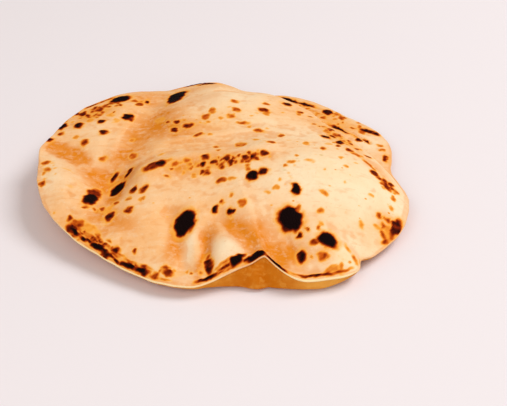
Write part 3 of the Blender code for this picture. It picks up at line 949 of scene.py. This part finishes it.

# %% [markdown]
# ## A flat layout for the exported picture
# Other programs can't read Blender's shader nodes, so for them the shaders must be painted on a picture.
# The picture needs a flat layout of the skin. The square grid is already one, so the top skin takes most
# of the picture, the wall is a strip below it and the sole a small round in the corner. Places on the
# picture run from 0 to 1.

# %% Flat layout
TOP_SIDE = 0.80       # side of the square that the top skin takes
STRIP_TOP = 0.17      # how high the strip of the wall reaches
MARGIN = 0.01
SOLE_MIDDLE = 0.90
SOLE_SCALE = 0.0009   # for each millimetre
layout = mesh.uv_layers.new(name="OFBake")
loop_points = np.zeros(len(mesh.loops), dtype=np.int64)
mesh.loops.foreach_get("vertex_index", loop_points)
flat = np.zeros((len(mesh.loops), 2))
flat_top = np.stack([square_x.reshape(-1), square_y.reshape(-1)], axis=-1)
bands = len(RIM_LEANS) + WALL_RINGS + 1
for face_index, face in enumerate(mesh.polygons):
    band, sector = divmod(face_index - top_face_count, len(walk))
    for corner in range(face.loop_start, face.loop_start + face.loop_total):
        point = loop_points[corner]
        if face_index < top_face_count:
            flat[corner] = MARGIN + (flat_top[point] + 1.0) / 2.0 * (TOP_SIDE - 2.0 * MARGIN)
            flat[corner, 1] += 1.0 - TOP_SIDE
        elif face_index < wall_face_end:
            after = (sector + 1) % len(walk)
            on_next = point in (rows[band][after], rows[band + 1][after])
            lower = point >= rows[band + 1][0]
            flat[corner] = ((sector + on_next) / len(walk) * (1.0 - 2.0 * MARGIN) + MARGIN,
                            STRIP_TOP * (1.0 - (band + lower) / bands) + MARGIN)
        else:
            flat[corner] = SOLE_MIDDLE + all_points[point, :2] * SOLE_SCALE
layout.data.foreach_set("uv", flat.reshape(-1).astype(np.float32))
print("the flat layout has", len(flat), "corners")

# %% [markdown]
# ## Shared effects
# Both skins have the same dough, burn in the same order and carry the same fine grain. So each effect is
# a node group with named inputs, built once, and placed in each material with its own values.

# %% Colours as they are seen
def paint(red, green, blue):
    """A colour as it is seen, 0 to 255, turned into the linear light that shaders use."""
    def linear(value):
        value /= 255.0
        return value / 12.92 if value <= 0.04045 else ((value + 0.055) / 1.055) ** 2.4
    return (linear(red), linear(green), linear(blue), 1.0)


print("the table's pale grey in linear light is", [round(part, 2) for part in paint(235, 229, 232)])

# %% Helpers for groups
SOCKETS = {"number": "NodeSocketFloat", "colour": "NodeSocketColor", "vector": "NodeSocketVector"}


def new_group(name, inputs, outputs):
    """An empty node group with named sockets; each input is (name, kind, starting value)."""
    group = bpy.data.node_groups.new(name, "ShaderNodeTree")
    for socket_name, kind, value in inputs:
        socket = group.interface.new_socket(name=socket_name, in_out="INPUT", socket_type=SOCKETS[kind])
        if value is not None:
            socket.default_value = value
    for socket_name, kind in outputs:
        group.interface.new_socket(name=socket_name, in_out="OUTPUT", socket_type=SOCKETS[kind])
    entry = group.nodes.new("NodeGroupInput")
    leave = group.nodes.new("NodeGroupOutput")
    return group, entry.outputs, leave.inputs


def connect(tree, source, target):
    """Link a socket, or set a plain value."""
    if isinstance(source, bpy.types.NodeSocket):
        tree.links.new(source, target)
    else:
        target.default_value = source


def maths(tree, operation, first, second=0.0, clamp=False):
    """One step of arithmetic."""
    node = tree.nodes.new("ShaderNodeMath")
    node.operation = operation
    node.use_clamp = clamp
    connect(tree, first, node.inputs[0])
    connect(tree, second, node.inputs[1])
    return node.outputs[0]


def multiply(tree, first, second):
    """Two values multiplied."""
    return maths(tree, "MULTIPLY", first, second)


def blend(tree, amount, first, second):
    """Mix two colours."""
    node = tree.nodes.new("ShaderNodeMix")
    node.data_type = "RGBA"
    connect(tree, amount, node.inputs["Factor"])
    connect(tree, first, node.inputs[6])
    connect(tree, second, node.inputs[7])
    return node.outputs[2]


def between(tree, value, low, high, to_low=0.0, to_high=1.0):
    """Stretch a value softly from one range to another, and keep it inside."""
    node = tree.nodes.new("ShaderNodeMapRange")
    node.interpolation_type = "SMOOTHSTEP"
    connect(tree, value, node.inputs["Value"])
    connect(tree, low, node.inputs["From Min"])
    connect(tree, high, node.inputs["From Max"])
    connect(tree, to_low, node.inputs["To Min"])
    connect(tree, to_high, node.inputs["To Max"])
    return node.outputs["Result"]


def stretched(tree, place, shares):
    """A place with each of its three directions scaled."""
    node = tree.nodes.new("ShaderNodeVectorMath")
    node.operation = "MULTIPLY"
    node.inputs[1].default_value = shares
    tree.links.new(place, node.inputs[0])
    return node.outputs["Vector"]


def speckle(tree, place, scale, detail, roughness, distortion=0.0):
    """Cloudy noise at one scale, about 0.5 on average."""
    node = tree.nodes.new("ShaderNodeTexNoise")
    connect(tree, place, node.inputs["Vector"])
    connect(tree, scale, node.inputs["Scale"])
    node.inputs["Detail"].default_value = detail
    node.inputs["Roughness"].default_value = roughness
    node.inputs["Distortion"].default_value = distortion
    return node.outputs["Fac"]


print("kinds of socket:", list(SOCKETS))

# %% [markdown]
# ## Dough colour
# Baked dough is not one colour. Broad clouds of cream and peach show how the flour was spread, golden
# places break up at their edges, short streaks run across the bread, and fine flecks and a dry bloom of
# flour lie over all of it. Each of these is a noise at its own scale, so that none shows as a pattern.

# %% Group: dough
def build_dough_group():
    group, given, result = new_group(
        "dough",
        [("Place", "vector", None), ("Pale", "colour", paint(250, 226, 180)),
         ("Peach", "colour", paint(245, 200, 145)), ("Gold", "colour", paint(235, 160, 75)),
         ("Pale Share", "number", 0.5), ("Golden Share", "number", 0.0),
         ("Cloud Scale", "number", 60.0), ("Grain Scale", "number", 900.0),
         ("Contrast", "number", 0.5)],
        [("Color", "colour")])
    clouds = speckle(group, given["Place"], given["Cloud Scale"], 3.0, 0.55)
    clouds = between(group, clouds, 0.3, 0.7, -0.5, 0.5)
    clouds = multiply(group, clouds, given["Contrast"])
    pale_share = maths(group, "ADD", given["Pale Share"], clouds, clamp=True)
    colour = blend(group, pale_share, given["Peach"], given["Pale"])
    patchy = speckle(group, given["Place"], multiply(group, given["Cloud Scale"], 3.1), 3.0, 0.6)
    patchy = between(group, patchy, 0.2, 0.75, 0.75, 1.15)
    golden_share = maths(group, "MULTIPLY", given["Golden Share"], patchy, clamp=True)
    colour = blend(group, golden_share, colour, given["Gold"])
    across = stretched(group, given["Place"], (0.3, 1.0, 0.6))
    streaks = speckle(group, across, multiply(group, given["Grain Scale"], 0.45), 3.0, 0.6, 0.4)
    grain = speckle(group, given["Place"], given["Grain Scale"], 3.0, 0.65)
    bloom = speckle(group, given["Place"], multiply(group, given["Grain Scale"], 0.4), 2.0, 0.7)
    # Each tint is (noise, where it starts, where it is full, how strong, towards which colour).
    for tint, start, full, strength, towards in (
            (streaks, 0.52, 0.74, 0.27, "Pale"), (streaks, 0.46, 0.26, 0.26, "Gold"),
            (grain, 0.56, 0.76, 0.24, "Gold"), (bloom, 0.50, 0.72, 0.24, "Pale")):
        colour = blend(group, between(group, tint, start, full, 0.0, strength), colour, given[towards])
    group.links.new(colour, result["Color"])
    return group


dough_group = build_dough_group()
print("dough group has", len(dough_group.nodes), "nodes")

# %% [markdown]
# ## Browning
# Heat takes dough through gold, orange brown and dark red brown to black, always in that order. A colour
# ramp holds that order. A little noise on the heat makes the edges of each mark ragged.

# %% Group: browning
COOLEST = (248, 196, 92)
STEPS_OF_HEAT = {0.20: (242, 162, 58), 0.42: (204, 92, 18), 0.60: (134, 38, 6),
                 0.78: (76, 18, 6), 0.94: (32, 9, 8)}
HOTTEST = (20, 8, 8)


def build_browning_group():
    group, given, result = new_group(
        "browning",
        [("Place", "vector", None), ("Base Color", "colour", paint(245, 215, 160)),
         ("Heat", "number", 0.0), ("Raggedness", "number", 0.35), ("Rag Scale", "number", 700.0)],
        [("Color", "colour"), ("Char", "number")])
    coarse = speckle(group, given["Place"], given["Rag Scale"], 3.0, 0.6)
    uneven = maths(group, "SUBTRACT", coarse, 0.5)
    uneven = multiply(group, uneven, multiply(group, given["Raggedness"], 2.0))
    heat = multiply(group, given["Heat"], maths(group, "ADD", uneven, 1.0))
    ramp = group.nodes.new("ShaderNodeValToRGB")
    stops = ramp.color_ramp.elements
    stops[0].color = paint(*COOLEST)
    stops[1].color = paint(*HOTTEST)
    for position, seen in STEPS_OF_HEAT.items():
        stops.new(position).color = paint(*seen)
    group.links.new(heat, ramp.inputs["Fac"])
    show = between(group, heat, 0.03, 0.24)
    colour = blend(group, show, given["Base Color"], ramp.outputs["Color"])
    group.links.new(colour, result["Color"])
    group.links.new(between(group, heat, 0.5, 0.85), result["Char"])
    return group


browning_group = build_browning_group()
print("browning group has", len(browning_group.nodes), "nodes")

# %% [markdown]
# ## Freckles
# Tiny blisters freckle the skin. There are far too many to list, so a cell pattern scatters them: each
# cell holds one speck, and a random number of its own says whether it shows and how dark it is.

# %% Group: freckles
def build_freckle_group():
    group, given, result = new_group(
        "freckles",
        [("Place", "vector", None), ("Share", "number", 0.3), ("Scale", "number", 300.0),
         ("Size", "number", 0.28), ("Darkness", "number", 0.6)],
        [("Heat", "number")])
    cells = group.nodes.new("ShaderNodeTexVoronoi")
    group.links.new(stretched(group, given["Place"], (1.0, 1.45, 1.0)), cells.inputs["Vector"])
    group.links.new(given["Scale"], cells.inputs["Scale"])
    chance = group.nodes.new("ShaderNodeSeparateColor")
    group.links.new(cells.outputs["Color"], chance.inputs["Color"])
    size = multiply(group, given["Size"], between(group, chance.outputs["Green"], 0.0, 1.0, 0.5, 1.1))
    inside = between(group, cells.outputs["Distance"], size, 0.0)
    shows = maths(group, "LESS_THAN", chance.outputs["Red"], given["Share"])
    dark = between(group, chance.outputs["Blue"], 0.2, 1.0, 0.35, 1.0)
    heat = multiply(group, multiply(group, inside, shows), multiply(group, dark, given["Darkness"]))
    group.links.new(heat, result["Heat"])
    return group


freckle_group = build_freckle_group()
print("freckle group has", len(freckle_group.nodes), "nodes")

# %% [markdown]
# ## Skin grain
# Up close the skin is finely pitted, with a dry crackle where it charred. The group puts out a height
# only; each material turns it into a bump of its own strength.

# %% Group: skin grain
def build_grain_group():
    group, given, result = new_group(
        "skin grain",
        [("Place", "vector", None), ("Scale", "number", 800.0), ("Char", "number", 0.0)],
        [("Height", "number")])
    fine = speckle(group, given["Place"], given["Scale"], 4.0, 0.6)
    broad = speckle(group, given["Place"], multiply(group, given["Scale"], 0.28), 3.0, 0.5)
    crackle = group.nodes.new("ShaderNodeTexVoronoi")
    crackle.feature = "DISTANCE_TO_EDGE"
    group.links.new(given["Place"], crackle.inputs["Vector"])
    group.links.new(given["Scale"], crackle.inputs["Scale"])
    cracked = multiply(group, between(group, crackle.outputs["Distance"], 0.0, 0.25), given["Char"])
    height = maths(group, "ADD", multiply(group, fine, 0.35), multiply(group, broad, 0.65))
    height = maths(group, "ADD", height, multiply(group, cracked, 0.5))
    group.links.new(height, result["Height"])
    return group


grain_group = build_grain_group()
print(len(bpy.data.node_groups), "shared effects")

# %% [markdown]
# ## The two finishes
# The top skin is pale, floury and matt, with painted light and shade in its pale and golden places. The
# lower skin stayed against the plate and steam, so it is an even deep gold with a little more shine; that
# gold is also painted shade, made as dark as the underside in the arch's shade. Both are the same chain:
# dough colour, then browning, then grain, feeding a plain Principled shader.

# %% Finish helpers
DULL_IOR = 1.2        # dry floury dough has no skin of oil, so it hardly shines
DULL_SPECULAR = 0.1


def start_material(name):
    """A material with its shader, ready to be wired."""
    material = bpy.data.materials.new(name)
    material.use_nodes = True
    tree = material.node_tree
    shader = tree.nodes["Principled BSDF"]
    shader.inputs["IOR"].default_value = DULL_IOR
    shader.inputs["Specular IOR Level"].default_value = DULL_SPECULAR
    return material, tree, shader


def use_group(tree, group, values):
    """Place a shared effect and give it its own values."""
    node = tree.nodes.new("ShaderNodeGroup")
    node.node_tree = group
    node.label = group.name
    for name, value in values.items():
        connect(tree, value, node.inputs[name])
    return node


def read_number(tree, name):
    """A number stored on the points."""
    node = tree.nodes.new("ShaderNodeAttribute")
    node.attribute_name = name
    return node.outputs["Fac"]


def object_place(tree):
    """Where a point lies on the object, in metres."""
    return tree.nodes.new("ShaderNodeTexCoord").outputs["Object"]


def finish_surface(tree, shader, colour, height, strength, depth, roughness):
    """Feed colour, bump and roughness to the shader."""
    bump = tree.nodes.new("ShaderNodeBump")
    bump.inputs["Strength"].default_value = strength
    bump.inputs["Distance"].default_value = depth
    tree.links.new(height, bump.inputs["Height"])
    tree.links.new(colour, shader.inputs["Base Color"])
    tree.links.new(bump.outputs["Normal"], shader.inputs["Normal"])
    tree.links.new(roughness, shader.inputs["Roughness"])


def lip_over(tree, dough, colour):
    """The dough, turned to the colour of the rim's pale lip where the skin has one: dough left less
    browned, and a painted highlight where the rim's edge catches the light.
    """
    share = between(tree, read_number(tree, "lip"), 0.35, 0.9)
    return blend(tree, share, dough.outputs["Color"], colour)


print("both finishes start from an IOR of", DULL_IOR)

# %% The pale top skin
def build_top_skin():
    material, tree, shader = start_material("baked_top_skin")
    where = object_place(tree)
    dough = use_group(tree, dough_group, {
        "Place": where, "Pale": paint(245, 221, 183), "Peach": paint(243, 186, 126),
        "Gold": paint(224, 132, 30), "Pale Share": read_number(tree, "floury_and_lit"),
        "Golden Share": read_number(tree, "golden"),
        "Cloud Scale": 45.0, "Grain Scale": 800.0, "Contrast": 0.35})
    pale_lip = lip_over(tree, dough, paint(252, 226, 172))
    bran = use_group(tree, freckle_group, {
        "Place": where, "Share": multiply(tree, read_number(tree, "floury_and_lit"), 0.2),
        "Scale": 170.0, "Size": 0.3, "Darkness": 0.9})
    branny = blend(tree, bran.outputs["Heat"], pale_lip, paint(198, 164, 84))
    specks = use_group(tree, freckle_group, {
        "Place": where, "Share": multiply(tree, read_number(tree, "freckled"), 0.55),
        "Scale": 300.0, "Size": 0.4, "Darkness": 0.38})
    heat = maths(tree, "MAXIMUM", read_number(tree, "browning"), specks.outputs["Heat"])
    burnt = use_group(tree, browning_group, {
        "Place": where, "Base Color": branny, "Heat": heat, "Raggedness": 0.2, "Rag Scale": 620.0})
    grain = use_group(tree, grain_group, {
        "Place": where, "Scale": 700.0, "Char": burnt.outputs["Char"]})
    roughness = between(tree, burnt.outputs["Char"], 0.0, 1.0, 0.8, 0.7)
    finish_surface(tree, shader, burnt.outputs["Color"], grain.outputs["Height"],
                   strength=0.55, depth=0.0008, roughness=roughness)
    return material


mesh.materials.append(build_top_skin())
print("the top skin's material has", len(mesh.materials[0].node_tree.nodes), "nodes")

# %% The golden lower skin
def build_lower_skin():
    material, tree, shader = start_material("golden_lower_skin")
    where = object_place(tree)
    # These golds are partly the lower skin's own toast and partly painted shade, as dark as the underside
    # in the arch's shade.
    dough = use_group(tree, dough_group, {
        "Place": where, "Pale": paint(246, 184, 84), "Peach": paint(218, 130, 16),
        "Gold": paint(192, 96, 0), "Pale Share": read_number(tree, "floury_and_lit"),
        "Golden Share": read_number(tree, "golden"),
        "Cloud Scale": 55.0, "Grain Scale": 700.0, "Contrast": 0.5})
    pale_lip = lip_over(tree, dough, paint(244, 200, 140))
    specks = use_group(tree, freckle_group, {
        "Place": where, "Share": 0.06, "Scale": 240.0, "Size": 0.34, "Darkness": 0.6})
    heat = maths(tree, "MAXIMUM", read_number(tree, "browning"), specks.outputs["Heat"])
    burnt = use_group(tree, browning_group, {
        "Place": where, "Base Color": pale_lip, "Heat": heat, "Raggedness": 0.3, "Rag Scale": 520.0})
    grain = use_group(tree, grain_group, {
        "Place": where, "Scale": 520.0, "Char": burnt.outputs["Char"]})
    roughness = between(tree, burnt.outputs["Char"], 0.0, 1.0, 0.6, 0.45)
    finish_surface(tree, shader, burnt.outputs["Color"], grain.outputs["Height"],
                   strength=0.4, depth=0.0007, roughness=roughness)
    return material


mesh.materials.append(build_lower_skin())
slots = np.zeros(len(mesh.polygons), dtype=np.int32)
slots[rim_face_end:] = 1
mesh.polygons.foreach_set("material_index", slots)
print("finishes:", [material.name for material in mesh.materials])

# %% [markdown]
# ## The table
# The bread lies on a plain pale table. It is one square, far wider than the view, so no edge of it shows.

# %% Table
TABLE_HALF = 3.0
table_mesh = bpy.data.meshes.new("table")
table_corners = [(x * TABLE_HALF, y * TABLE_HALF, 0.0) for x, y in ((-1, -1), (1, -1), (1, 1), (-1, 1))]
table_mesh.from_pydata(table_corners, [], [(0, 1, 2, 3)])
table = bpy.data.objects.new("table", table_mesh)
table.location = (0.0, 0.0, chapati_low.z)
bpy.context.scene.collection.objects.link(table)
table_material, table_tree, table_shader = start_material("pale_table")
table_shader.inputs["Base Color"].default_value = paint(235, 229, 232)
table_shader.inputs["Roughness"].default_value = 0.8
table_mesh.materials.append(table_material)
print("the table is", 2 * TABLE_HALF, "m wide")

# %% [markdown]
# ## Light
# A large soft lamp stands at the back right, like a window, and a weaker one fills the shadows from the
# front left. The room adds a faint warm light from all round. Where the view runs past the table, the
# camera sees a pale backdrop instead of that light.

# %% Light
ROOM_COLOUR = (1.0, 0.91, 0.83, 1.0)
ROOM_STRENGTH = 0.42


def soft_lamp(name, place_from, size, power, colour):
    """A square lamp that faces the bread. Its size is in metres and its power in watts."""
    lamp = bpy.data.lights.new(name, "AREA")
    lamp.shape = "SQUARE"
    lamp.size = size
    lamp.energy = power
    lamp.color = colour
    holder = bpy.data.objects.new(name, lamp)
    holder.location = place_from
    holder.rotation_euler = (-Vector(place_from)).to_track_quat("-Z", "Y").to_euler()
    bpy.context.scene.collection.objects.link(holder)


soft_lamp("window", (1.2, 0.38, 1.5), 1.0, 23.8, (1.0, 1.0, 1.0))
soft_lamp("front_fill", (-0.3, -1.2, 0.95), 1.4, 10.9, (1.0, 0.99, 0.99))
world = bpy.data.worlds.new("room")
bpy.context.scene.world = world
world.use_nodes = True
room_light = world.node_tree.nodes["Background"]
room_light.inputs["Color"].default_value = ROOM_COLOUR
room_light.inputs["Strength"].default_value = ROOM_STRENGTH
backdrop = world.node_tree.nodes.new("ShaderNodeBackground")
backdrop.inputs["Color"].default_value = paint(240, 231, 231)
seen_by = world.node_tree.nodes.new("ShaderNodeLightPath")
either = world.node_tree.nodes.new("ShaderNodeMixShader")
surface = world.node_tree.nodes["World Output"].inputs["Surface"]
connect(world.node_tree, seen_by.outputs["Is Camera Ray"], either.inputs["Fac"])
connect(world.node_tree, room_light.outputs[0], either.inputs[1])
connect(world.node_tree, backdrop.outputs[0], either.inputs[2])
connect(world.node_tree, either.outputs[0], surface)
bpy.context.scene.view_settings.view_transform = "Standard"
print(len(bpy.data.lights), "lamps and the room's own light")

# %% [markdown]
# ## Camera
# The camera looks down at about 35 degrees, as a person sitting at the table does. A long lens from half
# a metre away keeps the near and the far side of the bread in proportion.

# %% Camera
CAMERA_HEIGHT_ANGLE = 35.0
CAMERA_DISTANCE = 0.512
LENS = 75.0
LOOKED_AT = (0.0157, -0.0134)
looked_at = Vector((*LOOKED_AT, chapati_low.z))
rise = math.radians(CAMERA_HEIGHT_ANGLE)
lens = bpy.data.cameras.new("camera")
lens.lens = LENS
lens.sensor_width = 36.0
camera = bpy.data.objects.new("camera", lens)
camera.location = looked_at + Vector((0.0, -math.cos(rise), math.sin(rise))) * CAMERA_DISTANCE
camera.rotation_euler = (math.radians(90.0) - rise, 0.0, 0.0)
bpy.context.scene.collection.objects.link(camera)
bpy.context.scene.camera = camera
print("the camera looks down at", CAMERA_HEIGHT_ANGLE, "degrees")
